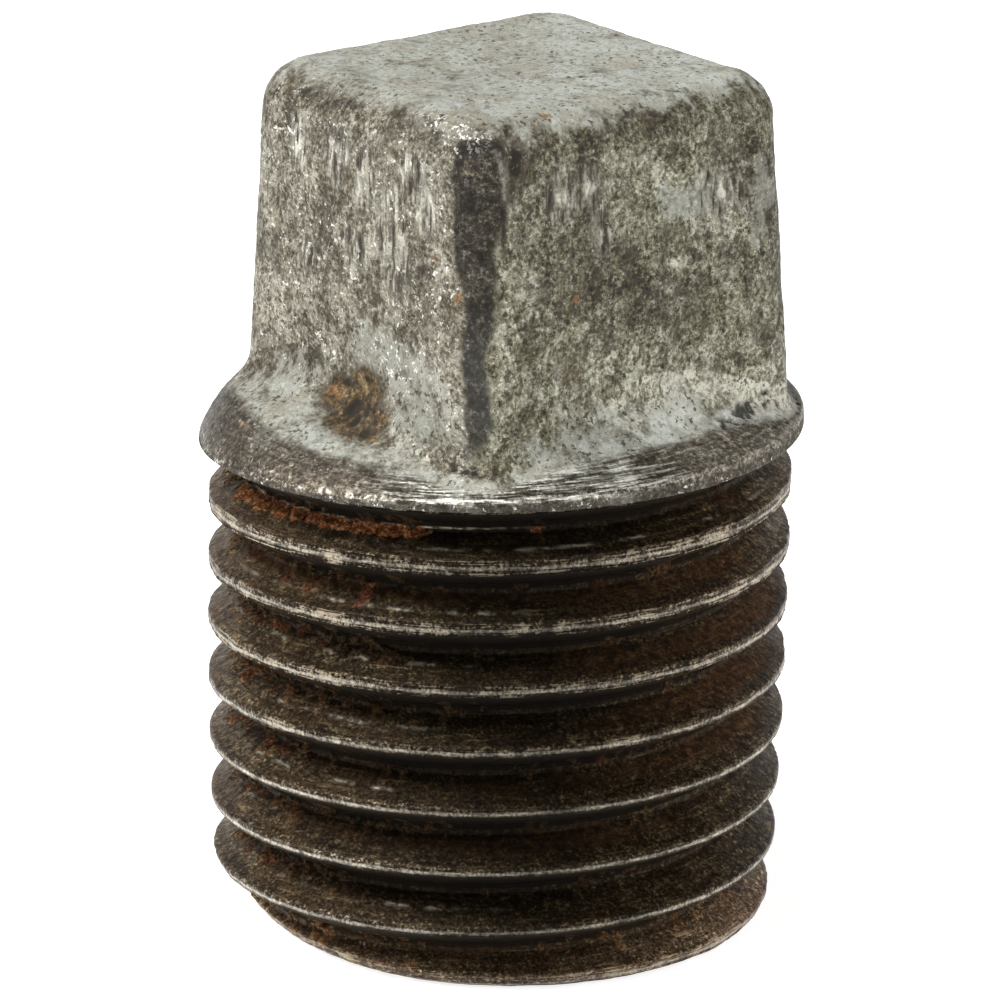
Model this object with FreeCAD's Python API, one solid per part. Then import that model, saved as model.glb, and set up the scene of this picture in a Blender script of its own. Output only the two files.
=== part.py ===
# Square-head pipe plug, 1/4-18 taper thread, iron with a zinc coat on its head.
# All sizes in millimetres. The origin is the centre of the small-end face and
# +Z runs along the thread axis, from the small end towards the square head.
#
# One iron casting (plug_body) carries the thread; a thin zinc coat
# (zinc_coating) covers the head and the shoulder and stops at the rim, because
# the thread is cut after the blank is dipped.

import FreeCAD, Part
import math
import os

V = FreeCAD.Vector

# ---- driving dimensions ----------------------------------------------------
PITCH = 25.4 / 18.0            # 18 threads to the inch
TAPER = 1.0 / 32.0             # radius gained per mm of length (1:16 on diameter)
CREST_R0 = 6.46                # crest radius at the small end, z = 0
CREST_FLAT = 0.20              # width of the worn flat on each crest
ROOT_FLAT = 0.14               # width of the root at the bottom of each groove
FLANK = math.radians(30.0)     # half of the 60 degree thread form
PHASE = 0.192                  # a crest passes z = PITCH * (angle / turn + PHASE)

FOOT_R = 5.75                  # radius of the small-end face
LEAD_1_Z, LEAD_1_R = 0.40, 6.15   # lead chamfer, first and steeper step
LEAD_2_Z, LEAD_2_R = 1.60, 6.51   # lead chamfer meets the crest cone

SEAM_Z = 11.75                 # height at which the zinc coat begins
RIM_Z = 12.02                  # top edge of the rim, before rounding
RIM_ROUND = 0.20
SHOULDER_R = 3.60              # radius at which the shoulder cone ends, inside the head
SHOULDER_Z = 13.10             # height of the shoulder cone at SHOULDER_R

HEAD_TOP_Z = 19.70             # overall length
HEAD_BASE_Z = 12.00            # height at which the base width is measured
AF_BASE = 9.44                 # across flats at HEAD_BASE_Z
AF_TOP = 8.78                  # across flats at HEAD_TOP_Z (cast draft)
HEAD_CORNER_R = 1.30           # rounding of the four upright corners
HEAD_TOP_R = 1.00              # rounding of the top edges
HEAD_FOOT_FILLET = 0.50        # fillet between head and shoulder
HEAD_DX, HEAD_DY = 0.158, 0.209   # the cast head stands 0.26 off the thread axis

COAT = 0.10                    # zinc thickness

GROOVE_START_Z = -PITCH * 0.5  # the thread tool enters below the small end
RUNOUT_START = 53.0            # angle (deg) at which the last groove begins to fade
RUNOUT_SWEEP = 120.0           # angle over which it fades out
RUNOUT_RISE = 1.05             # how far the tool backs off, more than the groove's depth


def crest_r(z):
    return CREST_R0 + TAPER * z


def blank():
    """Turned blank: small-end face, two-step lead chamfer, 1:16 cone."""
    pts = [V(0, 0, 0), V(FOOT_R, 0, 0), V(LEAD_1_R, 0, LEAD_1_Z),
           V(LEAD_2_R, 0, LEAD_2_Z), V(crest_r(SEAM_Z), 0, SEAM_Z),
           V(0, 0, SEAM_Z), V(0, 0, 0)]
    face = Part.Face(Part.makePolygon(pts))
    return face.revolve(V(0, 0, 0), V(0, 0, 1), 360)


def square_frustum(inset):
    """Four drafted flats and a flat top, all true planes, rounded edges."""
    slope = (AF_TOP - AF_BASE) / 2.0 / (HEAD_TOP_Z - HEAD_BASE_Z)
    z0 = SEAM_Z - 1.0 if inset else SEAM_Z
    z1 = HEAD_TOP_Z - inset
    h0 = AF_BASE / 2.0 + slope * (z0 - HEAD_BASE_Z) - inset
    h1 = AF_BASE / 2.0 + slope * (z1 - HEAD_BASE_Z) - inset
    solid = Part.makeWedge(-h0, z0, -h0, -h1, -h1, h0, z1, h0, h1, h1)
    solid.rotate(V(0, 0, 0), V(1, 0, 0), 90)
    solid.translate(V(HEAD_DX, HEAD_DY, 0))
    uprights = [e for e in solid.Edges
                if abs(e.Vertexes[0].Z - e.Vertexes[1].Z) > 1.0]
    solid = solid.makeFillet(HEAD_CORNER_R - inset, uprights)
    top = [e for e in solid.Edges
           if all(abs(v.Z - z1) < 1e-6 for v in e.Vertexes)]
    return solid.makeFillet(HEAD_TOP_R - inset, top)


def shoulder(inset):
    """Rim and shallow cone under the head."""
    r = crest_r(SEAM_Z) - inset
    pts = [V(0, 0, SEAM_Z - 1.0 if inset else SEAM_Z),
           V(r, 0, SEAM_Z - 1.0 if inset else SEAM_Z),
           V(r, 0, RIM_Z - inset), V(SHOULDER_R, 0, SHOULDER_Z - inset),
           V(0, 0, SHOULDER_Z - inset)]
    face = Part.Face(Part.makePolygon(pts + [pts[0]]))
    solid = face.revolve(V(0, 0, 0), V(0, 0, 1), 360)
    edge = [e for e in solid.Edges
            if abs(e.BoundBox.ZMin - (RIM_Z - inset)) < 1e-6
            and abs(e.BoundBox.ZMax - (RIM_Z - inset)) < 1e-6]
    return solid.makeFillet(RIM_ROUND, edge)


def top_end(inset):
    """Head and shoulder in one, filleted where they meet."""
    solid = square_frustum(inset).fuse(shoulder(inset)).removeSplitter()
    foot = []
    for e in solid.Edges:
        b = e.BoundBox
        mid = e.valueAt((e.FirstParameter + e.LastParameter) / 2.0)
        rad = math.hypot(mid.x, mid.y)
        if (b.ZMin > RIM_Z - inset + 0.02 and b.ZMax < SHOULDER_Z + 0.05
                and 4.3 < rad < crest_r(SEAM_Z) - inset - RIM_ROUND - 0.05):
            foot.append(e)
    return solid.makeFillet(HEAD_FOOT_FILLET + inset, foot)


def sweep(path, profile):
    """Carry a profile along a helix, kept in the plane of the axis."""
    pipe = Part.BRepOffsetAPI.MakePipeShell(path)
    pipe.setBiNormalMode(V(0, 0, 1))
    pipe.add(profile)
    if not pipe.isReady():
        raise RuntimeError("sweep isn't ready")
    pipe.build()
    pipe.makeSolid()
    return pipe.shape()


def groove_profile(r_crest, z):
    """60 degree groove with a rounded root, standing at angle 0."""
    depth = ((PITCH - CREST_FLAT - ROOT_FLAT) / 2.0) / math.tan(FLANK)
    over = 0.05
    w_out = (PITCH - CREST_FLAT) / 2.0 + over * math.tan(FLANK)
    w_in = ROOT_FLAT / 2.0
    lift = 0.03
    a = V(r_crest + over, 0, z - w_out)
    b = V(r_crest - depth + lift, 0, z - w_in - lift * math.tan(FLANK))
    m = V(r_crest - depth, 0, z)
    c = V(r_crest - depth + lift, 0, z + w_in + lift * math.tan(FLANK))
    d = V(r_crest + over, 0, z + w_out)
    return Part.Wire([Part.makeLine(a, b), Part.Arc(b, m, c).toShape(),
                      Part.makeLine(c, d), Part.makeLine(d, a)])


def groove():
    """Right-hand helical groove, full depth and then fading out."""
    # the groove's centre line passes z = PITCH * (angle / turn + PHASE + 0.5)
    start_turn = GROOVE_START_Z / PITCH - PHASE - 0.5
    end_turn = 7.0 + RUNOUT_START / 360.0
    height = PITCH * (end_turn - start_turn)
    r0 = crest_r(GROOVE_START_Z)
    main = sweep(                     # one face per turn cuts cleanly
        Part.makeLongHelix(PITCH, height, r0, math.degrees(math.atan(TAPER))),
        groove_profile(r0, 0.0))
    main.translate(V(0, 0, GROOVE_START_Z))
    main.rotate(V(0, 0, 0), V(0, 0, 1), 360.0 * start_turn)

    # run-out: the same groove, its path easing outwards until it leaves the blank
    first = 360.0 * end_turn
    path = []
    steps = 24
    for i in range(steps + 1):
        s = i / float(steps)
        deg = first + RUNOUT_SWEEP * s
        z = PITCH * (deg / 360.0 + PHASE + 0.5)
        r = crest_r(z) + RUNOUT_RISE * s * s
        a = math.radians(deg)
        path.append(V(r * math.cos(a), r * math.sin(a), z))
    spline = Part.BSplineCurve()
    spline.interpolate(path)
    z1 = path[0].z
    profile = groove_profile(crest_r(z1), z1)
    profile.rotate(V(0, 0, 0), V(0, 0, 1), first)
    fade = sweep(Part.Wire(spline.toShape()), profile)
    return main, fade


main_cut, fade_cut = groove()
shank = blank().cut(main_cut).cut(fade_cut)

core = top_end(COAT)
keep = Part.makeBox(40, 40, 40, V(-20, -20, SEAM_Z - 0.2))
core = core.common(keep)
plug_body = shank.fuse(core).removeSplitter()
zinc_coating = top_end(0.0).cut(core)


def single(shape, name):
    solids = shape.Solids
    if len(solids) != 1:
        raise RuntimeError("%s has %d solids" % (name, len(solids)))
    s = solids[0]
    if not s.isValid():
        raise RuntimeError("%s isn't valid" % name)
    b = s.BoundBox
    print("%-14s volume %9.3f mm3  x %.2f..%.2f  y %.2f..%.2f  z %.2f..%.2f" % (
        name, s.Volume, b.XMin, b.XMax, b.YMin, b.YMax, b.ZMin, b.ZMax))
    return s


os.makedirs("parts", exist_ok=True)
single(plug_body, "plug_body").exportStep("parts/plug_body.step")
single(zinc_coating, "zinc_coating").exportStep("parts/zinc_coating.step")
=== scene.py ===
import bpy
import math
import numpy as np
from mathutils import Vector, Matrix


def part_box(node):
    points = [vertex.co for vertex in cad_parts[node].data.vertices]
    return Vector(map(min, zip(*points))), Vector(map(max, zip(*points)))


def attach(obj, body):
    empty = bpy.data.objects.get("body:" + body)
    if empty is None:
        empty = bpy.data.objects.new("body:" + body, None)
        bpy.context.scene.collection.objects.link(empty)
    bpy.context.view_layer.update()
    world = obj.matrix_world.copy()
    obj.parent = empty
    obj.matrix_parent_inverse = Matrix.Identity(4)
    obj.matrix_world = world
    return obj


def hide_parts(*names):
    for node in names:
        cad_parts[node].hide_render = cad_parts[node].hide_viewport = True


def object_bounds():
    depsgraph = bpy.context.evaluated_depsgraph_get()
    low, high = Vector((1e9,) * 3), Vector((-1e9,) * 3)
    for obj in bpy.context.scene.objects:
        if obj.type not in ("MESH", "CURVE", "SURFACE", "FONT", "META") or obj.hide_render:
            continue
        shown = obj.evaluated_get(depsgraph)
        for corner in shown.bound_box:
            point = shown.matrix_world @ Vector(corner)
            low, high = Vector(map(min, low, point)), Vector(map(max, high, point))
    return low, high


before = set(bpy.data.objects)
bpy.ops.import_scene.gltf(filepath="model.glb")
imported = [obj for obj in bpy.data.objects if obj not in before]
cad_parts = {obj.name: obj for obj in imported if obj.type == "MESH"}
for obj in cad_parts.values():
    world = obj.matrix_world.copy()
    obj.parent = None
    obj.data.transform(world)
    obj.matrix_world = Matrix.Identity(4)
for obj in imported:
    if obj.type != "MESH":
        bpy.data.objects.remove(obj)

cad_lo, cad_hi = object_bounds()

# ---------------------------------------------------------------------------
# The part's own dimensions, in millimetres; the mesh is scaled to metres.
# ---------------------------------------------------------------------------
MM = 0.001
PITCH = 25.4 / 18.0
TAPER = 1.0 / 32.0
CREST_R0 = 6.46
PHASE = 0.192
DEPTH = 0.926

VIEW_AZ = 53.0                      # the front of the set, degrees
A = math.radians(VIEW_AZ)
RIGHT = np.array([math.cos(A), math.sin(A), 0.0])
FRONT = np.array([math.sin(A), -math.cos(A), 0.0])

head_lo, head_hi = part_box("zinc_coating")
body_lo, body_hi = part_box("plug_body")
TOP_Z = head_hi[2] / MM             # 19.7
RIM_R = head_hi[0] / MM             # about 6.83


def smooth(a, b, x):
    t = np.clip((x - a) / (b - a), 0.0, 1.0)
    return t * t * (3.0 - 2.0 * t)


class Noise:
    """Seeded gradient noise, about -1 to 1."""

    def __init__(self, seed):
        g = np.random.default_rng(seed)
        self.p = np.tile(g.permutation(256), 3).astype(np.int32)
        v = g.normal(size=(256, 3)).astype(np.float32)
        self.g = v / np.linalg.norm(v, axis=1)[:, None]

    def __call__(self, q):
        q = np.asarray(q, dtype=np.float32)
        fl = np.floor(q)
        f = q - fl
        i = fl.astype(np.int32) & 255
        u = f * f * f * (f * (f * 6 - 15) + 10)
        p = self.p
        out = 0.0
        for dx in (0, 1):
            wx = u[..., 0] if dx else 1 - u[..., 0]
            ax = p[i[..., 0] + dx]
            for dy in (0, 1):
                wy = u[..., 1] if dy else 1 - u[..., 1]
                ay = p[ax + i[..., 1] + dy]
                for dz in (0, 1):
                    wz = u[..., 2] if dz else 1 - u[..., 2]
                    g = self.g[p[ay + i[..., 2] + dz]]
                    d = (g[..., 0] * (f[..., 0] - dx) + g[..., 1] * (f[..., 1] - dy)
                         + g[..., 2] * (f[..., 2] - dz))
                    out = out + wx * wy * wz * d
        return out * 1.6

    def fbm(self, q, octaves=3, gain=0.5, lac=2.03):
        q = np.asarray(q, dtype=np.float32)
        out, amp, tot = 0.0, 1.0, 0.0
        for k in range(octaves):
            out = out + amp * self(q * lac ** k + 17.3 * k)
            tot += amp
            amp *= gain
        return out / tot


N1, N2, N3, N4 = Noise(11), Noise(23), Noise(37), Noise(51)


def build_mesh(name, rings, attrs, bottom=True, top=True):
    """rings: (rows, cols, 3) in mm, closed round the columns, capped at both ends."""
    rows, cols = rings.shape[:2]
    idx = np.arange(rows * cols, dtype=np.int32).reshape(rows, cols)
    a = idx[:-1]
    b = np.roll(idx[:-1], -1, axis=1)
    c = np.roll(idx[1:], -1, axis=1)
    d = idx[1:]
    quads = np.stack([a, d, c, b], axis=-1).reshape(-1, 4)
    verts = rings.reshape(-1, 3)
    extra = np.array([rings[0].mean(axis=0), rings[-1].mean(axis=0)])
    verts = np.vstack([verts, extra]) * MM
    n0, n1 = rows * cols, rows * cols + 1
    first, last = idx[0], idx[-1]
    t0 = np.stack([np.full(cols, n0), first, np.roll(first, -1)], axis=-1)
    t1 = np.stack([np.full(cols, n1), np.roll(last, -1), last], axis=-1)
    nq, nt = len(quads), 2 * cols
    loops = np.concatenate([quads.ravel(), t0.ravel(), t1.ravel()]).astype(np.int32)
    starts = np.concatenate([np.arange(nq) * 4, nq * 4 + np.arange(nt) * 3]).astype(np.int32)
    me = bpy.data.meshes.new(name)
    me.vertices.add(len(verts))
    me.vertices.foreach_set("co", verts.astype(np.float32).ravel())
    me.loops.add(len(loops))
    me.loops.foreach_set("vertex_index", loops)
    me.polygons.add(len(starts))
    me.polygons.foreach_set("loop_start", starts)
    me.update(calc_edges=True)
    me.validate()
    me.polygons.foreach_set("use_smooth", np.ones(len(me.polygons), dtype=bool))
    # one simple wrap: columns across, rows up
    uv = me.uv_layers.new(name="OFBake")
    li = np.empty(len(me.loops), dtype=np.int32)
    me.loops.foreach_get("vertex_index", li)
    row = np.concatenate([np.repeat(np.arange(rows), cols), [0, rows - 1]])
    col = np.concatenate([np.tile(np.arange(cols), rows), [cols * 0.5, cols * 0.5]])
    seg = np.linalg.norm(np.diff(rings, axis=0), axis=2).mean(axis=1)
    along = np.concatenate([[0.0], np.cumsum(seg)])
    along = along / along[-1]
    u = col[li] / cols
    v = along[row[li].astype(int)]
    # a face that crosses the seam keeps its right-hand side at 1
    ls = np.empty(len(me.polygons), dtype=np.int32)
    lt = np.empty(len(me.polygons), dtype=np.int32)
    me.polygons.foreach_get("loop_start", ls)
    me.polygons.foreach_get("loop_total", lt)
    face = np.repeat(np.arange(len(ls)), lt)
    umax = np.maximum.reduceat(u, ls)
    u = np.where((umax[face] > 0.75) & (u < 0.25), u + 1.0, u)
    u = 0.01 + 0.98 * u / (1.0 + 1.0 / cols)
    v = 0.01 + 0.98 * v
    uv.data.foreach_set("uv", np.stack([u, v], axis=-1).astype(np.float32).ravel())
    for key, val in attrs.items():
        val = np.asarray(val, dtype=np.float32)
        if val.ndim == 3:
            full = np.vstack([val.reshape(-1, 3), val[0].mean(axis=0), val[-1].mean(axis=0)])
            at = me.attributes.new(key, "FLOAT_VECTOR", "POINT")
            at.data.foreach_set("vector", full.astype(np.float32).ravel())
        else:
            full = np.concatenate([val.ravel(), [val[0].mean()], [val[-1].mean()]])
            at = me.attributes.new(key, "FLOAT", "POINT")
            at.data.foreach_set("value", full.astype(np.float32))
    ob = bpy.data.objects.new(name, me)
    bpy.context.scene.collection.objects.link(ob)
    return ob


def grid_normals(p):
    """Unit normals of a grid closed round its columns."""
    dr = np.gradient(p, axis=0)
    dc = (np.roll(p, -1, axis=1) - np.roll(p, 1, axis=1)) * 0.5
    n = np.cross(dr, dc)
    ln = np.linalg.norm(n, axis=2, keepdims=True)
    return n / np.maximum(ln, 1e-9)


def periodic(deg, knots):
    """Smooth periodic curve through (degrees, value) knots."""
    k = sorted((d % 360.0, v) for d, v in knots)
    x = np.array([q[0] for q in k])
    y = np.array([q[1] for q in k])
    x = np.concatenate([x - 360, x, x + 360])
    y = np.tile(y, 3)
    m = np.gradient(y, x)
    deg = np.mod(deg, 360.0)
    i = np.clip(np.searchsorted(x, deg) - 1, 0, len(x) - 2)
    h = x[i + 1] - x[i]
    t = (deg - x[i]) / h
    t2, t3 = t * t, t * t * t
    return ((2 * t3 - 3 * t2 + 1) * y[i] + (t3 - 2 * t2 + t) * h * m[i]
            + (-2 * t3 + 3 * t2) * y[i + 1] + (t3 - t2) * h * m[i + 1])


def spots(p, items):
    """Soft blobs: items are (x, y, z, radius[, stretch along z])."""
    out = np.zeros(p.shape[:-1])
    for it in items:
        d = p - np.array(it[:3])
        s = it[4] if len(it) > 4 else 1.0
        q = (d[..., 0] ** 2 + d[..., 1] ** 2 + (d[..., 2] / s) ** 2) / it[3] ** 2
        out = np.maximum(out, np.exp(-q))
    return out


def fit_angle(p):
    """Angle about the thread axis: 180 at the set's left, 270 front, 360 right."""
    t = np.degrees(np.arctan2(p[..., 1], p[..., 0])) - VIEW_AZ
    return np.mod(t, 360.0)


# ---------------------------------------------------------------------------
# Rim: where the shoulder meets the last turn of the thread
# ---------------------------------------------------------------------------
RIM_TOP = [(180, 11.10), (225, 11.25), (270, 11.52), (315, 11.80), (0, 11.95),
           (45, 11.86), (90, 11.62), (120, 11.42), (150, 11.20)]


def groove_centre(phi):
    """Height of the last groove's centre line, phi from 180 to 540."""
    return 11.063 + (phi - 360.0) / 360.0 * PITCH


def fade(phi):
    """1 where the last groove is full depth, 0 where it has run out."""
    return 1.0 - smooth(362.0, 438.0, phi)


def seam_height(phi):
    """Lower edge of the rim band, phi from 180 to 540."""
    cut = groove_centre(phi) + 0.075 + 0.53 * fade(phi) + 0.02
    t = np.clip((phi - 438.0) / 102.0, 0, 1)
    end = groove_centre(180.0) + 0.625
    start = groove_centre(438.0) + 0.095
    return np.where(phi > 438.0, start + (end - start) * t, cut)


# ---------------------------------------------------------------------------
# The galvanised head
# ---------------------------------------------------------------------------
NS, NC = 128, 60                    # columns on each flat and each corner
COLS = 4 * (NS + NC)


def outline(h, rc):
    """Rounded square, one ring per entry of h; h and rc are (rows, cols)."""
    h = np.broadcast_to(h, (h.shape[0], COLS))
    rc = np.broadcast_to(rc, (rc.shape[0], COLS))
    x = np.empty(h.shape)
    y = np.empty(h.shape)
    s = (np.arange(NS) / NS) * 2 - 1
    a = np.arange(NC) / NC * (math.pi / 2)
    for k in range(4):
        c, sn = math.cos(k * math.pi / 2), math.sin(k * math.pi / 2)
        i0 = k * (NS + NC)
        hh, rr = h[:, i0:i0 + NS], rc[:, i0:i0 + NS]
        px, py = hh, s * (hh - rr)
        x[:, i0:i0 + NS] = px * c - py * sn
        y[:, i0:i0 + NS] = px * sn + py * c
        i1 = i0 + NS
        hh, rr = h[:, i1:i1 + NC], rc[:, i1:i1 + NC]
        px, py = hh - rr + rr * np.cos(a), hh - rr + rr * np.sin(a)
        x[:, i1:i1 + NC] = px * c - py * sn
        y[:, i1:i1 + NC] = px * sn + py * c
    return x, y


HEAD_OFF = 0.262 * RIGHT            # the casting stands off the thread's axis
TILT = Matrix.Rotation(math.radians(1.2), 3, Vector(FRONT))
TILT = np.array(TILT)
PIVOT = np.array([0.0, 0.0, 16.0])
RC, RT = 1.30, 1.00
HT = 19.66                          # height of the top face before its waves


def half_width(z):
    return 4.72 - 0.0429 * (z - 12.0)


def place(x, y, z):
    p = np.stack([x, y, z], axis=-1)
    # the top face is not quite square to the sides
    k = smooth(17.0, 19.4, p[..., 2])
    side = p @ RIGHT
    deep = p @ FRONT
    p[..., 2] = p[..., 2] + k * (0.004 * side - 0.030 * deep)
    return (p - PIVOT) @ TILT.T + PIVOT + HEAD_OFF


# foot of the head, and the rim opposite each column
z_ref = np.full((1, COLS), 12.3)
fx, fy = outline(half_width(z_ref), np.full((1, COLS), RC))
foot = place(fx, fy, z_ref)[0]
phi_row = np.degrees(np.arctan2(foot[:, 1], foot[:, 0]))
phi = np.mod(phi_row - VIEW_AZ, 360.0)
phi = np.where(phi < 180.0, phi + 360.0, phi)          # 180 .. 540
r_foot = np.hypot(foot[:, 0], foot[:, 1])
z_edge = periodic(phi, RIM_TOP)
# the shoulder rises steeply and bulges on one side, and is a plain cone elsewhere
bulge = np.exp(-((phi - 180.0) / 42.0) ** 2) + np.exp(-((540.0 - phi) / 42.0) ** 2)


def shoulder(d):
    """Height above the rim, d inwards from it; d is (rows, cols)."""
    d = np.maximum(d, 0.0)
    cone = 0.06 * (1 - np.exp(-d / 0.05)) + 0.52 * d - 0.030 * d * d
    dome = 0.95 * (1 - np.exp(-d / 0.42)) + 0.36 * d
    return cone + (dome - cone) * bulge[None, :]


mid_flat = smooth(0.0, 1.0, (r_foot.max() - r_foot) / (r_foot.max() - r_foot.min()))
z_corner = z_edge + shoulder((RIM_R - r_foot)[None, :])[0]
FIL = 0.46 + 0.42 * mid_flat

rows_p = []


def add(pts):
    rows_p.append(pts)


# top face, centre outwards
n_top = 60
q = (np.linspace(0.015, 1.0, n_top) ** 0.85)[:, None]
h_flat = half_width(HT) - RT
x, y = outline(q * h_flat, q * (RC - RT + 0.12))
add(place(x, y, np.full(x.shape, HT)))
# rounded top edge
f = np.linspace(0, math.pi / 2, 23)[1:, None]
ins = RT * (1 - np.sin(f))
zz = HT - RT + RT * np.cos(f)
x, y = outline(half_width(zz) - ins, RC - ins * (1 - 0.12))
add(place(x, y, np.broadcast_to(zz, x.shape)))
# flats
n_side = 112
s = np.linspace(0, 1, n_side + 1)[1:, None]
z_a = HT - RT
z_b = (z_corner + FIL)[None, :]
zz = z_a + (z_b - z_a) * s
x, y = outline(half_width(zz), np.full(zz.shape, RC))
add(place(x, y, zz))
p0 = rows_p[-1][-1]
ang = np.radians(phi_row)
r_e = RIM_R - 0.03
r_in = r_foot + np.minimum(FIL, 0.72 * (r_e - r_foot))


def on_shoulder(r):
    z = z_edge[None, :] + shoulder(RIM_R - r)
    return np.stack([r * np.cos(ang), r * np.sin(ang), z], axis=-1)


p2 = on_shoulder(r_in[None, :])[0]
p2b = on_shoulder(r_in[None, :] + 0.02)[0]
slope = (p2[:, 2] - p2b[:, 2]) / 0.02
r_0 = np.hypot(p0[:, 0], p0[:, 1])
z_1 = np.minimum(p2[:, 2] + slope * (r_in - r_foot), p0[:, 2] - 0.1)
p1 = np.stack([r_foot * np.cos(ang), r_foot * np.sin(ang), z_1], axis=-1)
t = np.linspace(0, 1, 23)[1:, None, None]
add((1 - t) ** 2 * p0 + 2 * t * (1 - t) * p1 + t * t * p2)
t = np.linspace(0, 1, 31)[1:, None]
t = 1 - (1 - t) ** 1.5
add(on_shoulder(r_in[None, :] + (r_e - r_in)[None, :] * t))
edge = rows_p[-1][-1]
# rounded rim
rc_ = RIM_R + 0.015
ctrl = np.stack([rc_ * np.cos(ang), rc_ * np.sin(ang), z_edge + 0.0], axis=-1)
z_seam = np.minimum(seam_height(phi), z_edge - 0.05)
z_low = np.maximum(z_edge - 0.16, z_seam + 0.03)
low = np.stack([rc_ * np.cos(ang), rc_ * np.sin(ang), z_low], axis=-1)
t = np.linspace(0, 1, 11)[1:, None, None]
add((1 - t) ** 2 * edge + 2 * t * (1 - t) * ctrl + t * t * low)
bot = np.stack([rc_ * np.cos(ang), rc_ * np.sin(ang), z_seam], axis=-1)
t = np.linspace(0, 1, 9)[1:, None, None]
add(low + (bot - low) * t)
n_band = sum(len(r) for r in rows_p)
# tucked under, inside the shank
inner = np.stack([6.45 * np.cos(ang), 6.45 * np.sin(ang), z_seam + 0.06], axis=-1)
add(inner[None])
deep_in = np.stack([5.4 * np.cos(ang), 5.4 * np.sin(ang), z_seam + 0.30], axis=-1)
add(deep_in[None])
core = np.stack([2.0 * np.cos(ang), 2.0 * np.sin(ang), np.full(COLS, 11.9)], axis=-1)
add(core[None])
base = np.concatenate(rows_p, axis=0)

nrm = grid_normals(base)
rowi = np.arange(base.shape[0])[:, None]
i_top, i_edge, i_side = n_top, n_top + 22, n_top + 22 + n_side
i_fil, i_cone = i_side + 22, i_side + 52
show = (rowi < n_band).astype(float) * np.ones((1, COLS))
rim_w = smooth(i_fil - 6, i_fil + 4, rowi) * show      # machined shoulder and rim
headw = 1.0 - smooth(i_fil, i_cone, rowi) * np.ones((1, COLS))
upness = np.clip(nrm[..., 2], 0, 1)
hz = base[..., 2]

low1 = N1.fbm(base * 0.38, 2)
mid1 = N2.fbm(base * 0.95 + 3.1, 3)
mid2 = N3.fbm(base * 2.4 + 8.7, 3)
fine = N4.fbm(base * 6.5 + 1.9, 3)
grit = N1.fbm(base * 13.0 + 5.5, 2)

disp = 0.075 * low1 + 0.040 * mid1 + 0.017 * mid2 + 0.009 * fine + 0.004 * grit
disp = disp * (0.35 + 0.65 * headw)
# lumps where the zinc has gathered along the top edges
edge_w = smooth(0.25, 0.6, upness) * (1 - smooth(0.80, 0.97, upness)) * (rowi < i_side)
disp = disp + edge_w * 0.05 * N2.fbm(base * 1.6 + 20.0, 2)
# pits
pit = np.clip(N3.fbm(base * 3.1 + 40.0, 2) - 0.32, 0, 1) * headw
pit2 = np.clip(N4.fbm(base * 7.5 + 60.0, 2) - 0.34, 0, 1) * headw
disp = disp - 0.15 * pit - 0.09 * pit2

# drag marks: short upright scratches on the upper part of two faces
drag_zone = np.maximum.reduce([
    spots(base, [(-0.46, -4.23, 18.1, 0.52, 1.6), (0.58, -4.25, 17.6, 0.42, 2.0), (1.49, -4.32, 17.0, 0.55, 1.8),
                 (1.95, -4.33, 16.1, 0.45, 1.7), (2.34, -4.27, 18.1, 0.50, 1.1), (-1.9, -4.28, 18.0, 0.34, 2.2),
                 (-1.47, -4.33, 15.5, 0.35, 1.3), (0.3, -4.33, 16.0, 0.45, 1.2), (2.9, -4.3, 17.4, 0.35, 1.6)]),
    spots(base, [(4.62, -1.95, 17.9, 0.52, 1.3), (4.62, -1.3, 17.9, 0.48, 1.3), (4.65, -0.9, 17.0, 0.35, 1.6)]),
    spots(base, [(4.65, 2.0, 17.5, 0.28, 1.9), (4.65, 2.4, 17.4, 0.30, 2.2), (4.64, 2.85, 17.4, 0.25, 2.0)]),
    0.8 * spots(base, [(-4.5, 1.0, 17.0, 1.2, 1.4), (0.5, 4.7, 16.8, 1.1, 1.4)]),
])
drag_zone = drag_zone * (1 - smooth(0.35, 0.8, upness)) * (rowi < i_side)
sc = np.stack([base[..., 0] * 6.0 + 0.5 * mid1, base[..., 1] * 6.0, base[..., 2] * 1.35], axis=-1)
scr = N1.fbm(sc + 9.0, 2)
sc2 = np.stack([base[..., 0] * 9.0, base[..., 1] * 9.0 + 0.4 * mid1, base[..., 2] * 2.4], axis=-1)
scr = 0.65 * scr + 0.45 * N2.fbm(sc2 + 19.0, 2)
drag_on = smooth(0.25, 0.60, drag_zone + 0.30 * mid1 + 0.2 * mid2)
drag_cut = np.clip(scr - 0.06, 0, 1) * drag_on
disp = disp - 0.15 * drag_cut + 0.05 * np.clip(-scr, 0, 1) * drag_on

# the near upright edge: a dull, bruised strip with a hollow at its top
# distance along the skin from the edge's middle line, + to the right face
along_e = (base[..., 0] - 4.40) * 0.643 + (base[..., 1] + 3.92) * 0.766
near_e = np.hypot(base[..., 0] - 4.40, base[..., 1] + 3.92) < 1.4
wob = 0.13 * N2(np.stack([hz * 0.8, hz * 0 + 2.0, hz * 0], axis=-1)) + 0.10 * mid2 + 0.05 * fine
b_l = np.interp(hz, [12.0, 14.0, 15.5, 16.5, 18.0, 19.2], [-0.22, -0.28, -0.32, -0.46, -0.62, -0.56])
b_r = np.interp(hz, [12.0, 14.0, 15.5, 16.5, 18.0, 19.2], [0.20, 0.14, 0.16, 0.30, 0.42, 0.30])
band = smooth(-0.20, 0.16, along_e + 1.1 * wob - b_l) * (1 - smooth(-0.24, 0.26, along_e + 1.5 * wob - b_r)) * near_e
band = band * smooth(11.9, 13.3, hz + 0.3 * mid1) * (1 - smooth(19.0, 19.25, hz + 0.12 * mid2)) * (rowi < i_side + 14)
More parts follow.
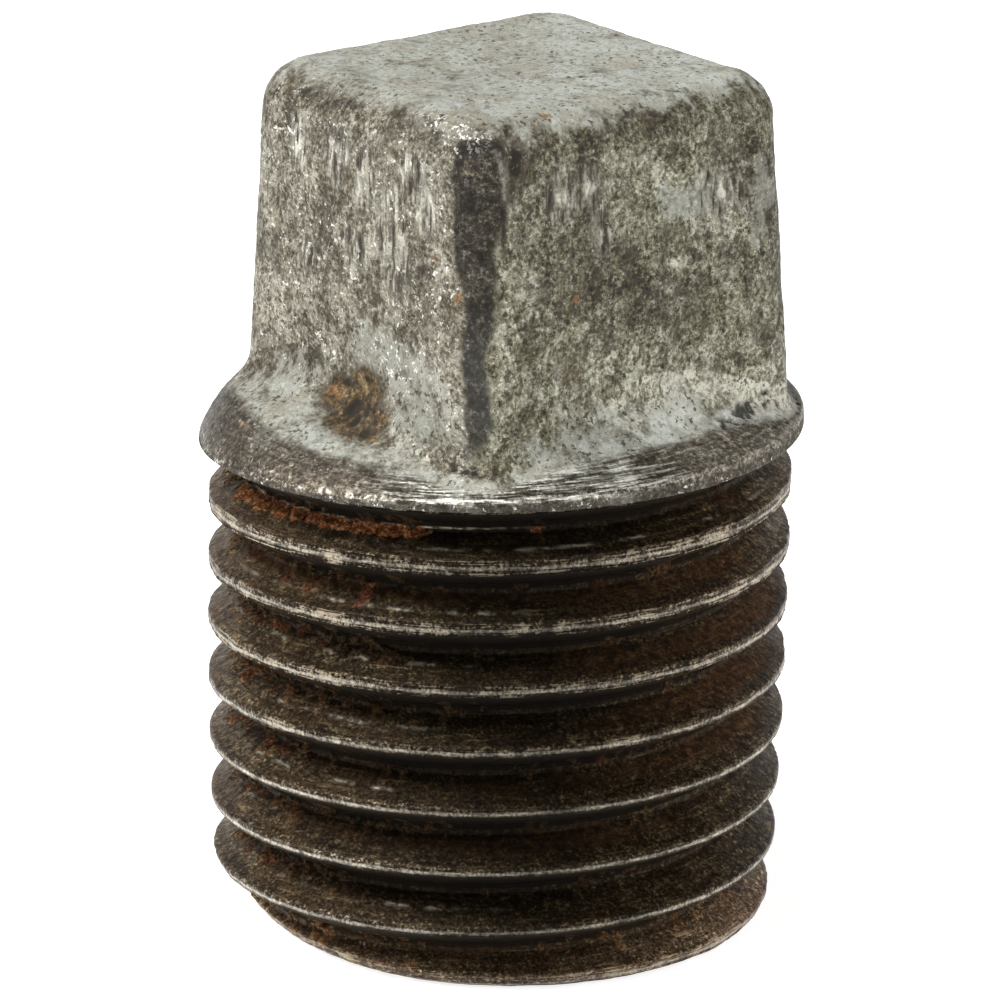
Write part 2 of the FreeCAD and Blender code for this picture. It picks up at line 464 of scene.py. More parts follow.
hollow = np.maximum(spots(base, [(4.50, -3.05, 18.85, 0.27, 1.25), (4.54, -3.12, 18.6, 0.22, 1.3)]),
                    0.6 * spots(base, [(4.60, -3.2, 18.1, 0.16, 2.4)]))
ridge = spots(base, [(4.40, -3.50, 18.98, 0.075, 2.0), (4.50, -3.46, 18.70, 0.07, 2.6), (4.55, -3.46, 18.35, 0.07, 3.0),
                     (4.58, -3.42, 18.05, 0.06, 3.0), (4.62, -3.30, 17.75, 0.06, 2.6), (4.62, -3.12, 17.75, 0.05, 2.4)])
ridge = ridge * smooth(-0.5, 0.1, fine + 0.4 * grit)
groove_b = spots(base, [(4.53, -3.42, 17.1, 0.10, 9.0), (4.50, -3.35, 16.0, 0.09, 7.0)])
disp = disp - 0.035 * band - 0.15 * hollow - 0.06 * groove_b + 0.09 * ridge
# pit in the left face above its fillet
big_pit = spots(base, [(0.85, -4.77, 12.62, 0.72, 0.85), (0.16, -4.62, 12.82, 0.50, 0.8), (1.45, -4.82, 12.42, 0.56, 0.85),
                       (0.9, -4.62, 13.05, 0.60, 0.8)])
pit_core = spots(base, [(0.72, -4.68, 12.68, 0.24, 1.0), (0.98, -4.80, 12.45, 0.2, 0.8), (1.5, -4.86, 12.30, 0.2, 0.6)])
big_pit = big_pit * smooth(-0.55, 0.15, mid2 + 0.5 * fine + 0.9 * big_pit - 0.2)
disp = disp - 0.14 * big_pit * (0.7 + 0.6 * mid2) - 0.12 * pit_core
# dents in the shoulder on the right
dents = spots(base, [(5.37, 2.45, 12.41, 0.36, 0.7), (5.25, 2.80, 12.44, 0.34, 0.7), (5.10, 3.15, 12.47, 0.32, 0.7),
                     (4.98, 3.45, 12.52, 0.28, 0.8), (4.90, 3.7, 12.6, 0.24, 0.8), (5.45, 2.05, 12.35, 0.28, 0.7)])
dents = dents * smooth(-0.45, 0.15, mid2 + 0.7 * fine)
crease = spots(base, [(4.45, -4.3, 12.03, 0.13, 0.5), (4.62, -4.2, 12.02, 0.15, 0.5), (4.85, -4.05, 12.0, 0.14, 0.5),
                      (5.0, -3.85, 12.02, 0.10, 0.5), (4.2, -4.42, 12.05, 0.10, 0.5)])
disp = disp - 0.13 * dents - 0.09 * crease
# top face: gentle hollow in its middle, raised back corner
disp = disp + 0.05 * spots(base, [(-3.0, 3.6, 19.7, 1.3)]) - 0.06 * spots(base, [(0.6, 0.4, 19.7, 1.6)])
# turning marks on the shoulder: fine rings
rr = np.hypot(base[..., 0], base[..., 1])
rim_w = rim_w * smooth(5.78, 6.00, rr + 0.16 * mid2 + 0.08 * fine + 0.10 * np.cos(np.radians(phi))[None, :])
ring_co = np.stack([base[..., 0] * 0.95, base[..., 1] * 0.95, rr * 15.0], axis=-1)
rings = N3.fbm(ring_co + 70.0, 3)
disp = disp + rim_w * 0.016 * rings
disp = disp * show
disp[n_band - 8:n_band] *= np.linspace(1, 0.15, 8)[:, None]

head_pts = base + nrm * disp[..., None]

detail = (0.030 * mid2 + 0.020 * fine + 0.006 * grit - 0.20 * pit - 0.10 * pit2
          - 0.13 * drag_cut - 0.12 * hollow - 0.06 * groove_b - 0.10 * big_pit)
cav = np.clip(0.5 - detail / 0.07, 0, 1)
rust_spots = spots(base, [
    (3.91, -1.93, 19.43, 0.20), (4.75, -1.62, 15.54, 0.10, 1.6), (3.32, -4.31, 16.54, 0.13, 1.5),
    (3.99, -4.24, 15.76, 0.14, 1.4), (-0.1, -4.4, 14.9, 0.07),
    (-2.6, 4.4, 16.2, 0.3, 1.5), (-4.4, -1.2, 14.6, 0.26, 1.6), (-1.2, 4.8, 12.7, 0.35)])
rust_spots = np.maximum(rust_spots * smooth(-0.35, 0.25, fine + 0.5 * grit),
                        spots(base, [(-0.15, -4.68, 12.85, 0.16, 0.8), (0.12, -4.68, 12.80, 0.12, 0.8), (-1.5, -6.0, 11.9, 0.12, 0.5),
                                     (-1.2, -6.02, 11.88, 0.14, 0.5)]))
gash = spots(base, [(-2.08, -4.26, 18.55, 0.045, 5.0), (-1.98, -4.28, 18.15, 0.045, 5.0), (-1.69, -4.27, 17.85, 0.045, 6.0),
                    (-0.22, -4.25, 18.2, 0.035, 9.0), (0.10, -4.26, 17.7, 0.035, 7.0), (0.86, -4.28, 17.5, 0.035, 9.0),
                    (2.05, -4.3, 16.9, 0.035, 9.0), (4.66, 2.95, 17.4, 0.06, 6.0), (4.66, 2.12, 17.5, 0.05, 6.0)])
# broad light and dark areas of the skin
zone = (0.12 * spots(base, [(4.69, 0.5, 17.6, 0.9, 0.9), (4.7, 2.7, 16.5, 0.5, 0.6), (-1.47, -4.33, 15.4, 0.4, 1.3), (3.2, -4.3, 14.2, 0.9, 1.2)])
        + 0.26 * spots(base, [(4.75, 1.28, 15.87, 0.17, 1.1), (4.75, 1.05, 15.95, 0.12, 1.0)])
        - 0.15 * spots(base, [(4.71, -0.45, 15.75, 0.85, 0.9), (4.71, -1.2, 16.3, 0.6, 1.0), (4.71, 0.4, 15.6, 0.6, 0.7), (4.72, 0.1, 14.9, 0.6, 0.5)])
        - 0.10 * spots(base, [(4.67, -2.3, 17.0, 0.7, 1.5), (4.6, -1.7, 17.9, 0.8, 0.8)])
        - 0.17 * spots(base, [(4.71, 3.1, 15.75, 0.42, 0.8), (4.73, 2.55, 15.96, 0.30, 0.5), (4.59, 3.5, 18.2, 0.55, 1.6), (4.6, 3.7, 16.9, 0.4, 1.6)])
        - 0.17 * spots(base, [(4.40, -0.28, 19.17, 0.45, 0.5), (4.38, 0.83, 19.2, 0.45, 0.5), (4.5, 1.53, 18.89, 0.45, 0.6), (4.5, -1.3, 18.9, 0.5, 0.6)])
        - 0.16 * spots(base, [(-2.55, -4.2, 18.55, 0.5, 1.0), (-1.1, -3.85, 19.3, 0.9, 0.5), (-2.1, -4.0, 19.1, 0.7, 0.5)])
        - 0.15 * spots(base, [(2.4, -3.86, 19.27, 0.6, 0.5), (1.5, -3.86, 19.28, 0.6, 0.5), (3.4, -3.7, 19.3, 0.5, 0.5)])
        - 0.12 * spots(base, [(4.85, -2.3, 13.3, 0.5, 0.5), (2.6, -4.3, 15.0, 0.7, 1.2), (-0.9, -4.3, 16.6, 0.6, 1.0)]))
zone = zone * (1.2 + 1.1 * mid2) + 0.07 * mid1
zone = zone + 0.11 * (1 - smooth(13.6, 15.6, hz)) * smooth(0.4, 0.9, nrm[..., 0]) * (rowi < i_cone) - 0.12 * bulge[None, :] * (rowi >= i_side) * headw
zone = zone + 0.03 * smooth(0.3, 0.9, nrm[..., 0]) + 0.04 * smooth(0.9, 0.99, upness) * (base @ RIGHT > 1.0)
zone = zone + 0.26 * smooth(290, 315, phi)[None, :] * (1 - smooth(345, 370, phi))[None, :] * (rowi >= i_side)
zone = zone - 0.10 * smooth(0.25, 0.6, upness) * (1 - smooth(0.85, 0.99, upness)) * (base @ RIGHT < 0.2) * (rowi < i_side)
# spots near the top front edges where the material paints more glints
glint_spots = spots(base, [(3.9, -3.8, 19.05, 0.42, 0.6), (3.3, -3.75, 19.25, 0.40, 0.6), (2.6, -3.8, 19.3, 0.4, 0.5), (4.35, -3.6, 18.9, 0.22, 1.0)])
lip = np.clip((rowi - (i_cone + 1)) / 6.0, 0, 1) * np.ones((1, COLS)) * show
pale = spots(base, [(-0.4, -5.2, 12.4, 1.0, 0.8), (-1.6, -4.9, 12.8, 0.9, 0.8), (-0.1, -5.8, 12.1, 0.8, 0.6),
                    (2.9, -4.6, 12.9, 1.1, 1.2), (1.2, -4.4, 13.9, 1.2, 0.7), (2.6, -5.2, 12.1, 1.0, 0.5),
                    (5.4, -1.4, 12.4, 1.5, 0.45), (5.2, 0.6, 12.5, 1.2, 0.45), (4.7, 1.4, 17.3, 0.8, 0.7), (4.7, 3.7, 17.0, 0.5, 2.2),
                    (-1.0, 4.9, 13.1, 1.4, 0.8), (-4.6, -0.8, 12.9, 1.5, 0.7), (-3.6, 4.0, 12.6, 1.2, 0.8)])
# faces turned to the right, which the material paints in shade
facing_r = smooth(0.35, 0.9, nrm[..., 0]) * (rowi < i_cone) + 0.6 * smooth(0.35, 0.9, nrm[..., 1]) * (rowi < i_cone)
# bright line along the rim's rounded edge: worn zinc, partly a painted highlight
rim_line = np.exp(-((base[..., 2] - (z_edge + 0.05)[None, :]) / 0.06) ** 2) * (rowi >= i_cone - 10)
rim_line = rim_line * smooth(-0.25, 0.25, N2.fbm(np.stack([base[..., 0] * 3, base[..., 1] * 3, hz * 2], axis=-1) + 5.0, 3))
# where the shoulder shows its bright rings: a painted reflection in front, weaker at the back
rim_front_sheen = smooth(238, 262, phi) * (1 - smooth(290, 318, phi)) + 0.5 * smooth(400, 430, phi) * (1 - smooth(470, 500, phi))
attrs = {
    "cav": cav,
    "up": upness,
    "band": np.clip(band, 0, 1),
    "rust": rust_spots,
    "pit": np.clip(big_pit, 0, 1),
    "black": np.clip(pit_core * 1.0 + 0.95 * dents + 1.0 * crease + 0.85 * hollow + 0.7 * groove_b + gash, 0, 1),
    "zone": zone,
    "glint_spots": glint_spots,
    "lip": lip,
    "cut": np.clip(drag_cut * 3.2, 0, 1),
    "ridge": np.clip(np.clip(-scr - 0.10, 0, 1) * 3.0 * drag_on + 0.9 * ridge, 0, 1),
    "right": facing_r,
    "edge": rim_line,
    "front": rim_front_sheen[None, :] * np.ones((base.shape[0], 1)),
    "pale": pale,
    "rim": rim_w,
    "drag": np.clip(drag_on, 0, 1),
    "ringco": ring_co,
}
head = build_mesh("galvanised_head", head_pts, attrs)

# ---------------------------------------------------------------------------
# The threaded shank
# ---------------------------------------------------------------------------
TC = 720
Z_END = 12.0
n_z = 452
th = np.arange(TC) / TC * 2 * math.pi
zr = np.linspace(0.0, Z_END, n_z)
T, Z = np.meshgrid(th, zr)
turn = Z / PITCH - T / (2 * math.pi) - PHASE
n_turn = np.floor(turn)
ph = turn - n_turn                                    # 0 crest, 0.5 root, 1 next crest
xx = np.minimum(ph, 1 - ph)
cx, cy = np.cos(T), np.sin(T)
nom = np.stack([6.2 * cx, 6.2 * cy, Z], axis=-1)
phi_t = np.mod(np.degrees(T) - VIEW_AZ, 360.0)

# crests worn unevenly, roots filled unevenly
hel = n_turn + T / (2 * math.pi) - 0.6472              # turns since the set's left, whole numbers there
ps = np.where(ph < 0.5, ph, ph - 1.0)
wear = 0.5 + 0.5 * N1.fbm(np.stack([cx * 2.2, cy * 2.2, n_turn + np.round(ph) * 1.0], axis=-1) * 1.3, 3)
a_ = 0.032 + 0.022 * wear
b_ = 0.060
ramp = np.clip((xx - a_) / (0.5 - a_ - b_), 0, 1)
# ease both ends of the straight flank
k = 0.13
soft = np.where(ramp < k, ramp * ramp / (2 * k), ramp - k / 2)
soft = soft / (1 - k / 2)
k2 = 0.12
t_ = 1 - soft
soft = 1 - np.where(t_ < k2, t_ * t_ / (2 * k2), t_ - k2 / 2) / (1 - k2 / 2)
s_deg = 360.0 * n_turn + np.degrees(T)
last = 1.0 - smooth(2520 + 53 + 2, 2520 + 53 + 78, s_deg)
last = np.where(n_turn >= 8, 0.0, last)
crest_r = CREST_R0 + TAPER * Z - 0.015 * wear
R = crest_r - DEPTH * soft * last

toolco = np.stack([cx * 2.4, cy * 2.4, ph * 15.0 + Z * 0.35], axis=-1)
tool = N2.fbm(toolco, 3)
tool_f = N3.fbm(np.stack([cx * 5.0, cy * 5.0, ph * 34.0 + Z * 0.5], axis=-1) + 4.0, 2)
rough1 = N3.fbm(nom * 1.5, 3)
rough2 = N4.fbm(nom * 5.5, 3)
grit_t = N1.fbm(nom * 12.0, 2)
crest_lo = 1 - smooth(0.014, 0.032, np.abs(ps + 0.010 + 0.008 * rough1))
crest_up = (1 - smooth(-0.02, 0.17, ps + 0.06 * rough1)) * smooth(-0.03, 0.0, ps)
# the worn crest's strength is painted round the thread as painted light and shade
crest_up = crest_up * periodic(phi_t, [(180, 0.85), (235, 0.90), (270, 0.72), (310, 0.60), (345, 0.72), (45, 0.8), (90, 0.8), (135, 0.8)])
# the downward-facing flank under each crest, painted as shadow in the material
shadow_under_crest = (1 - smooth(-0.10, -0.035, ps)) * (ps < 0.0)
crest = 1 - smooth(0.050, 0.105, xx + 0.012 * rough2)
root = smooth(0.30, 0.47, xx)
flank = (1 - crest) * (1 - root)

R = R + flank * (0.010 * tool + 0.006 * tool_f) + 0.004 * rough2 + 0.003 * grit_t
# nicks along the crests
nick = np.clip(N4.fbm(np.stack([cx * 22, cy * 22, n_turn * 3.0 + Z * 0.4], axis=-1), 2) - 0.18, 0, 1)
R = R - crest * (0.07 * nick + 0.006 * (0.5 + 0.5 * rough2))
big_nick = np.clip(N2.fbm(np.stack([cx * 5.5, cy * 5.5, n_turn * 5.0], axis=-1) + 30.0, 2) - 0.42, 0, 1)
R = R - crest * 0.16 * big_nick

def streak(h0, h1, c0, c1, w, soft_=0.012):
    """A band along the helix from h0 to h1, its centre going from c0 to c1 up the flank."""
    q_ = np.clip((hel - h0) / (h1 - h0), 0, 1)
    c = c0 + (c1 - c0) * q_
    inside = smooth(h0 - soft_, h0 + soft_, hel) * (1 - smooth(h1 - soft_, h1 + soft_, hel))
    return inside * np.exp(-(((ps - c) / w) ** 2))


# rust and packed dirt, mostly high on each flank, close under the next turn
rust_items = [(5.14, -2.85, 10.70, 0.17, 0.8), (2.44, -5.48, 8.99, 0.22, 1.0), (6.45, 0.68, 9.93, 0.17, 1.0),
              (-1.58, -5.71, 5.99, 0.17, 0.8), (-0.9, -5.75, 6.10, 0.15, 0.8), (-0.35, -5.71, 6.20, 0.17, 0.8),
              (0.2, -5.71, 6.22, 0.15, 0.8), (0.65, -5.69, 6.22, 0.19, 0.9),
              (-1.91, -5.53, 4.58, 0.15, 0.8), (-0.66, -5.78, 4.66, 0.18, 0.8), (-1.35, -5.64, 3.19, 0.15, 1.0),
              (5.40, 1.86, 3.73, 0.13, 1.0), (0.3, -5.9, 8.85, 0.14, 0.8), (1.1, -5.85, 8.85, 0.14, 0.7),
              (-5.6, 1.4, 8.2, 0.4, 0.6), (-3.2, 5.0, 6.0, 0.5, 0.6), (-5.0, -3.2, 4.4, 0.3, 0.7),
              (-2.0, 5.6, 9.4, 0.4, 0.6), (0.5, 5.8, 3.2, 0.4, 0.6), (3.5, 4.9, 5.1, 0.3, 0.7)]
on_flank = smooth(0.12, 0.2, ps)
rust_core = spots(nom * np.array([0.965, 0.965, 1.0]), rust_items) * on_flank
orange = 1.25 * streak(6.045, 6.205, 0.375, 0.42, 0.070) * smooth(-0.75, -0.2, rough2 + 0.3 * rough1)
orange = np.maximum(orange, streak(5.0, 5.02, 0.36, 0.36, 0.03))
brown = (streak(5.05, 5.30, 0.40, 0.36, 0.07, 0.05) + 0.8 * streak(5.29, 5.42, 0.30, 0.33, 0.10, 0.03)
         + streak(4.30, 4.5, 0.22, 0.25, 0.12, 0.05) + streak(3.30, 3.46, 0.25, 0.3, 0.12, 0.05)
         + 0.7 * streak(1.15, 1.38, 0.3, 0.3, 0.12, 0.05) + 0.6 * streak(2.2, 2.5, 0.28, 0.3, 0.10, 0.06))
rust_dark = np.clip(rust_core * 1.15 * smooth(-0.6, 0.1, rough2), 0, 1)
rust_dark = np.maximum(rust_dark, 0.9 * (streak(5.03, 5.10, 0.40, 0.40, 0.05) + streak(4.02, 4.12, 0.38, 0.40, 0.06) + streak(2.98, 3.10, 0.36, 0.40, 0.07)
                                         + streak(2.0, 2.12, 0.36, 0.40, 0.07) + streak(1.0, 1.10, 0.36, 0.38, 0.07)
                                         + streak(0.02, 0.12, 0.34, 0.38, 0.08)) * smooth(-0.1, 0.35, rough2 + 0.5 * rough1))
rust_core = np.maximum(rust_core, orange)
brown = brown + 0.30 * smooth(290, 325, phi_t) * (1 - smooth(352, 359.9, phi_t)) * smooth(-0.4, 0.3, rough1 + 0.4 * rough2)
rust_gen = smooth(0.16, 0.42, N2.fbm(nom * 0.75 + 12.0, 2) + 0.25 * rough2) * smooth(0.16, 0.34, xx)
up_side = (ph < 0.62).astype(float)
rust_t = np.clip(orange * 1.15 * smooth(-0.6, 0.1, rough2), 0, 1)
brown = np.clip(brown + 0.45 * rust_gen * up_side, 0, 1) * on_flank
left_w = smooth(0.2, 1.0, -(nom @ RIGHT) / 3.6)
dirt = smooth(0.05, 0.40, N3.fbm(nom * 1.1 + 33.0, 3) + 0.9 * (xx - 0.27) + 0.22 * left_w) * smooth(0.18, 0.32, xx)
crust = np.clip(1.5 * N4.fbm(nom * 3.6 + 2.0, 3) + 0.15, 0, 1)
along_n = N2.fbm(np.stack([cx * 9, cy * 9, n_turn * 4.0 + Z * 0.3], axis=-1) + 11.0, 3)
# painted glints: broken bright streaks along the flanks, slightly raised
glint = np.zeros_like(Z)
for n_ in range(0, 6):
    c_ = 0.28 + 0.045 * math.sin(n_ * 2.1)
    h_ = 0.04 + 0.05 * math.sin(n_ * 3.7 + 1.0)
    glint = np.maximum(glint, streak(n_ + h_, n_ + h_ + 0.16 + 0.06 * math.sin(n_ * 5.1), c_, c_ - 0.02, 0.013, 0.03))
glint = 0.8 * glint * smooth(-0.05, 0.25, along_n)
glint = np.maximum(glint, streak(6.05, 6.25, 0.462, 0.482, 0.010, 0.03) * smooth(-0.4, 0.0, along_n))
glint = np.maximum(glint, streak(6.21, 6.48, 0.235, 0.25, 0.010, 0.03) * smooth(-0.2, 0.2, along_n))
glint = np.maximum(glint, 0.7 * streak(5.44, 5.52, 0.25, 0.35, 0.05, 0.02) * smooth(-0.1, 0.3, along_n))
R = R + (0.10 * rust_core + (0.06 + 0.16 * left_w) * dirt) * crust * (1 - crest) + 0.012 * glint
# painted light and shade round the thread: crests and flanks painted light at the set's left and right and dark at the
# front, and flanks painted lighter near the foot
CREST_LIGHT_SHADE = [(180, 0.16), (190, 0.34), (205, 0.58), (232, 0.48), (250, 0.26), (268, 0.12), (285, 0.11),
              (300, 0.26), (320, 0.44), (338, 0.56), (350, 0.40), (0, 0.20), (45, 0.40), (90, 0.45), (135, 0.42)]
FLANK_LIGHT_SHADE = [(180, 0.62), (205, 0.54), (225, 0.38), (241, 0.25), (254, 0.19), (266, 0.15), (278, 0.13), (290, 0.20),
              (303, 0.31), (320, 0.50), (338, 0.62), (355, 0.62), (45, 0.50), (90, 0.45), (135, 0.50)]
crest_light_shade = periodic(phi_t, CREST_LIGHT_SHADE)
flank_light_shade = periodic(phi_t, FLANK_LIGHT_SHADE)
flank_light_shade = flank_light_shade * (1 + 2.0 * (1 - smooth(0.5, 1.4, Z)))
# the groove next to the rim is darker still, darkest in front
flank_light_shade = flank_light_shade * (1 - 0.35 * smooth(5.95, 6.1, hel) * (1 - smooth(6.35, 6.5, hel)) * smooth(0.12, 0.3, ps))

# lead chamfer and ragged start
lead = np.interp(Z, [0.0, 0.14, 0.45, 1.15, 1.85], [5.74, 6.00, 6.20, 6.44, 6.60])
low_left = np.exp(-((np.mod(phi_t - 205.0 + 180, 360) - 180) / 36.0) ** 2)
low_right = np.exp(-((np.mod(phi_t - 335.0 + 180, 360) - 180) / 50.0) ** 2)
lead = lead + (0.20 * low_right - 0.48 * low_left) * (1 - smooth(0.25, 1.35, Z)) + 0.045 * rough1 + 0.02 * rough2
R_lead = np.minimum(R, lead + 0.012 * tool_f)
cut_w = smooth(0.0, 0.05, R - lead)
R = R_lead
R = np.where(Z < 0.02, np.minimum(R, lead), R)

# above the rim band's lower edge the shank stays just inside the head piece
phi_u = np.where(phi_t < 180.0, phi_t + 360.0, phi_t)
zs = seam_height(phi_u)
under = smooth(-0.01, 0.03, Z - zs)
R = np.where(Z > zs, np.minimum(R, 6.46 - 2.15 * (Z - zs)), R)

side = np.stack([R * cx, R * cy, Z + 0.0 * R], axis=-1)
n_cap = 14
qc = np.linspace(0.03, 1.0, n_cap + 1)[:-1]
cap0 = []
for qq in qc:
    ring = side[0] * np.array([qq, qq, 1.0])
    ring[:, 2] = 0.012 * N3.fbm(ring * 1.4, 3) * (1 - qq ** 6)
    cap0.append(ring)
cap0 = np.array(cap0)
cap1 = []
for qq in (0.7, 0.35, 0.05):
    ring = side[-1] * np.array([qq, qq, 1.0])
    cap1.append(ring)
cap1 = np.array(cap1)
shank_pts = np.concatenate([cap0, side, cap1], axis=0)[::-1]


def pad(a, v0=0.0, v1=0.0):
    if a.ndim == 2:
        return np.concatenate([np.full((n_cap, TC), v0), a, np.full((3, TC), v1)], axis=0)[::-1]
    lo = np.repeat(a[:1], n_cap, axis=0)
    hi = np.repeat(a[-1:], 3, axis=0)
    return np.concatenate([lo, a, hi], axis=0)[::-1]


attrs = {
    "crest": pad(np.clip(crest_lo * last, 0, 1)),
    "crestup": pad(np.clip(crest_up * last, 0, 1)),
    "shadow_under_crest": pad(np.clip(shadow_under_crest * last, 0, 1)),
    "crest_lightshade": pad(crest_light_shade, 0.4, 0.4),
    "flank_lightshade": pad(flank_light_shade, 0.4, 0.4),
    "brown": pad(brown, 0.3, 0.0),
    "glint": pad(glint),
    "crust": pad(crust),
    "root": pad(root * last, 0.4),
    "rust": pad(rust_t * (1 - crest)),
    "rustd": pad(rust_dark * (1 - crest)),
    "dirt": pad(np.clip(dirt * crust * 2.0, 0, 1) * (1 - crest)),
    "lead": pad(cut_w, 1.0),
    "nick": pad(np.clip(nick * 3 + big_nick * 3, 0, 1)),
    "toolco": pad(toolco),
}
shank = build_mesh("threaded_shank", shank_pts, attrs)

# ---------------------------------------------------------------------------
# Materials
# ---------------------------------------------------------------------------


class Mat:
    def __init__(self, name):
        self.m = bpy.data.materials.new(name)
        self.m.use_nodes = True
        self.nt = self.m.node_tree
        self.nt.nodes.clear()
        self.out = self.nt.nodes.new("ShaderNodeOutputMaterial")
        self.b = self.nt.nodes.new("ShaderNodeBsdfPrincipled")
        self.nt.links.new(self.b.outputs[0], self.out.inputs[0])
        tc = self.nt.nodes.new("ShaderNodeTexCoord")
        sc = self.nt.nodes.new("ShaderNodeVectorMath")
        sc.operation = "SCALE"
        sc.inputs["Scale"].default_value = 1000.0
        self.nt.links.new(tc.outputs["Object"], sc.inputs[0])
        self.co = sc.outputs[0]

    def put(self, sock, val):
        if isinstance(val, bpy.types.NodeSocket):
            self.nt.links.new(val, sock)
        else:
            sock.default_value = val

    def attr(self, name, vec=False):
        n = self.nt.nodes.new("ShaderNodeAttribute")
        n.attribute_name = name
        return n.outputs["Vector" if vec else "Fac"]

    def noise(self, scale, detail=3.0, rough=0.55, dist=0.0, co=None, off=0.0):
        n = self.nt.nodes.new("ShaderNodeTexNoise")
        co = self.co if co is None else co
        if off:
            a = self.nt.nodes.new("ShaderNodeVectorMath")
            a.operation = "ADD"
            self.nt.links.new(co, a.inputs[0])
            a.inputs[1].default_value = (off, off * 1.7, off * 0.6)
            co = a.outputs[0]
        self.nt.links.new(co, n.inputs["Vector"])
        n.inputs["Scale"].default_value = scale
        n.inputs["Detail"].default_value = detail
        n.inputs["Roughness"].default_value = rough
        n.inputs["Distortion"].default_value = dist
        return n.outputs[0]

    def voronoi(self, scale, co=None, feature="F1", out=0, rand=1.0):
        n = self.nt.nodes.new("ShaderNodeTexVoronoi")
        n.feature = feature
        self.nt.links.new(self.co if co is None else co, n.inputs["Vector"])
        n.inputs["Scale"].default_value = scale
        n.inputs["Randomness"].default_value = rand
        return n.outputs[out]

    def scale(self, v):
        n = self.nt.nodes.new("ShaderNodeVectorMath")
        n.operation = "MULTIPLY"
        self.nt.links.new(self.co, n.inputs[0])
        n.inputs[1].default_value = v
        return n.outputs[0]

    def math(self, op, a, b=None, clamp=False):
        n = self.nt.nodes.new("ShaderNodeMath")
        n.operation = op
        n.use_clamp = clamp
        self.put(n.inputs[0], a)
        if b is not None:
            self.put(n.inputs[1], b)
        return n.outputs[0]

    def wsum(self, bias, pairs):
        """bias plus each socket's distance from a half, weighted."""
        out = None
        for sock, w in pairs:
            bias -= 0.5 * w
            term = self.math("MULTIPLY", sock, w)
            out = term if out is None else self.math("ADD", out, term)
        return self.math("ADD", out, bias)

    def range(self, v, a, b, lo=0.0, hi=1.0, kind="SMOOTHSTEP"):
        n = self.nt.nodes.new("ShaderNodeMapRange")
        n.interpolation_type = kind
        self.put(n.inputs[0], v)
        n.inputs[1].default_value = a
        n.inputs[2].default_value = b
        n.inputs[3].default_value = lo
        n.inputs[4].default_value = hi
        return n.outputs[0]

    def mix(self, f, a, b, mode="MIX"):
        n = self.nt.nodes.new("ShaderNodeMix")
        n.data_type = "RGBA"
        n.blend_type = mode
        self.put(n.inputs[0], f)
        for s, v in ((n.inputs[6], a), (n.inputs[7], b)):
            if isinstance(v, tuple):
                v = v + (1.0,) if len(v) == 3 else v
            self.put(s, v)
        return n.outputs[2]

    def mixf(self, f, a, b):
        n = self.nt.nodes.new("ShaderNodeMix")
        n.data_type = "FLOAT"
        self.put(n.inputs[0], f)
        self.put(n.inputs[2], a)
        self.put(n.inputs[3], b)
        return n.outputs[0]

    def ramp(self, f, stops):
        n = self.nt.nodes.new("ShaderNodeValToRGB")
        self.put(n.inputs[0], f)
        e = n.color_ramp.elements
        while len(e) < len(stops):
            e.new(0.5)
        for el, (p, c) in zip(e, stops):
            el.position = p
            el.color = tuple(c) + (1.0,)
        return n.outputs[0]

    def bump(self, h, strength, dist, normal=None):
        n = self.nt.nodes.new("ShaderNodeBump")
        n.inputs["Strength"].default_value = strength
        n.inputs["Distance"].default_value = dist
        self.nt.links.new(h, n.inputs["Height"])
        if normal is not None:
            self.nt.links.new(normal, n.inputs["Normal"])
        return n.outputs[0]


def zsock(m):
    """Height above the foot, in millimetres."""
    n = m.nt.nodes.new("ShaderNodeSeparateXYZ")
    m.nt.links.new(m.co, n.inputs[0])
    return n.outputs[2]


